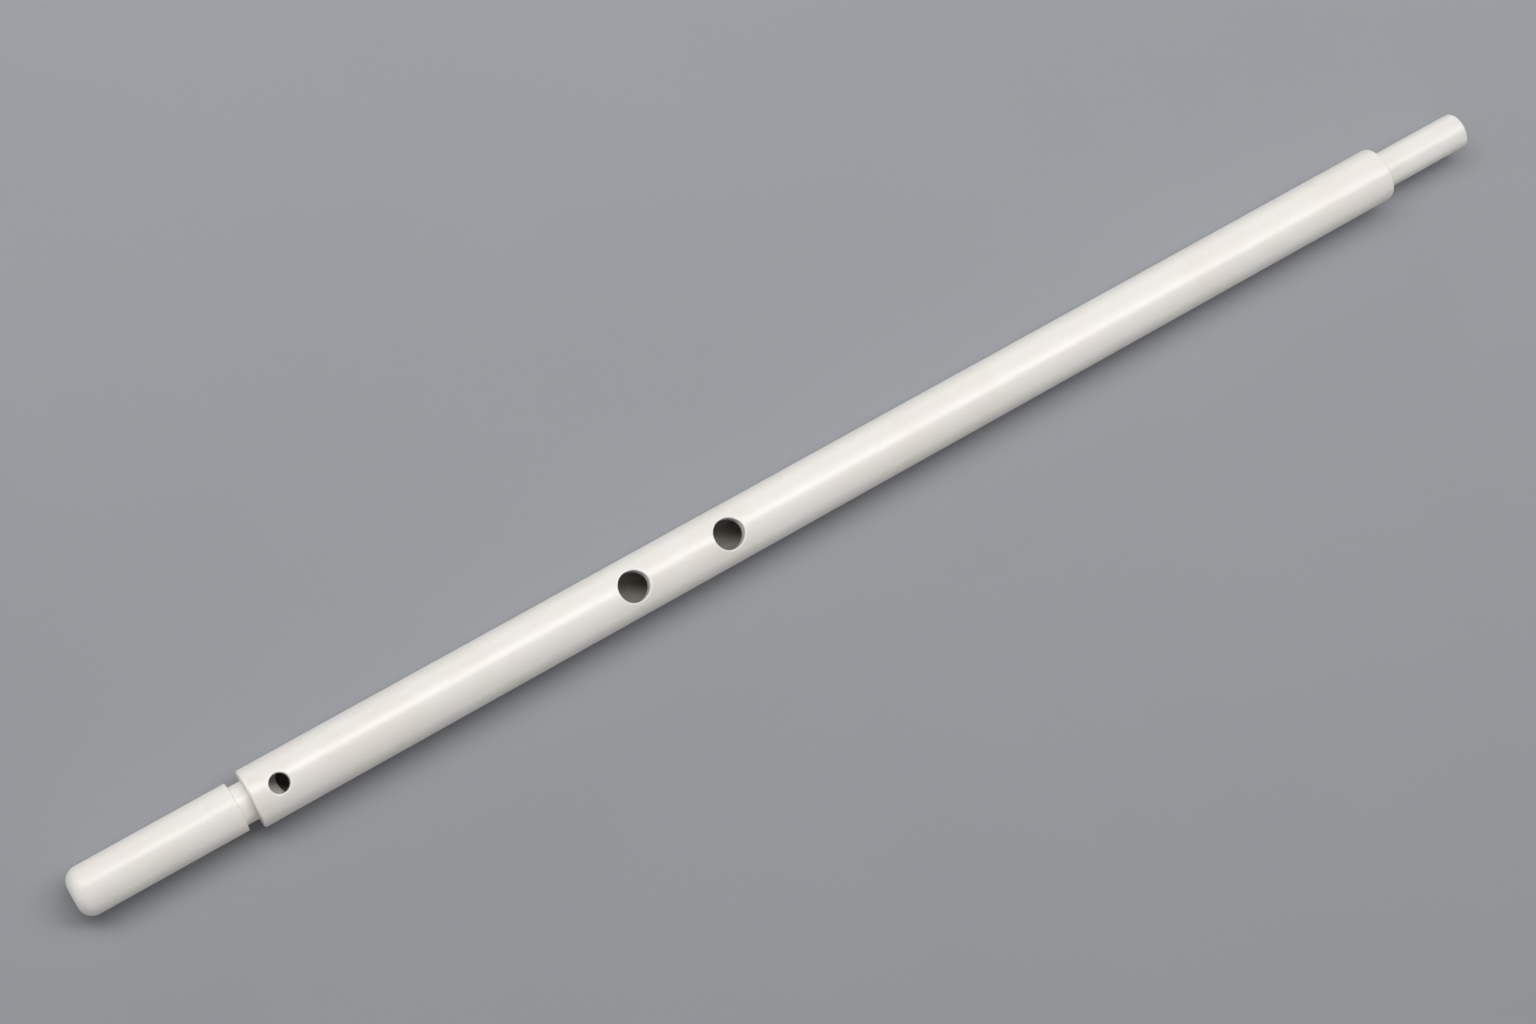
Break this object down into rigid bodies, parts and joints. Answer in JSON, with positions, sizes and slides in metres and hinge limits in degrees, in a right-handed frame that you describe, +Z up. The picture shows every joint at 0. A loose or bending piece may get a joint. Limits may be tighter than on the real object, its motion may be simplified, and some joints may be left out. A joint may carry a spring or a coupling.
{
  "type": "zirconia tube",
  "caption": "White zirconia tube with a closed round nose, a snap ring groove, side ports into a blind bore and a thin open spigot.",
  "frame": {"origin": "on the plane the tube lies on, under the middle of its length", "axes": "+X along the tube from the closed nose to the open spigot, +Z up out of the ports"},
  "size_m": [0.33, 0.012, 0.012],
  "materials": {
    "zirconia": "ground and polished, warm white"
  },
  "bodies": {
    "root": {"zirconia_tube": "zirconia"}
  },
  "joints": []
}
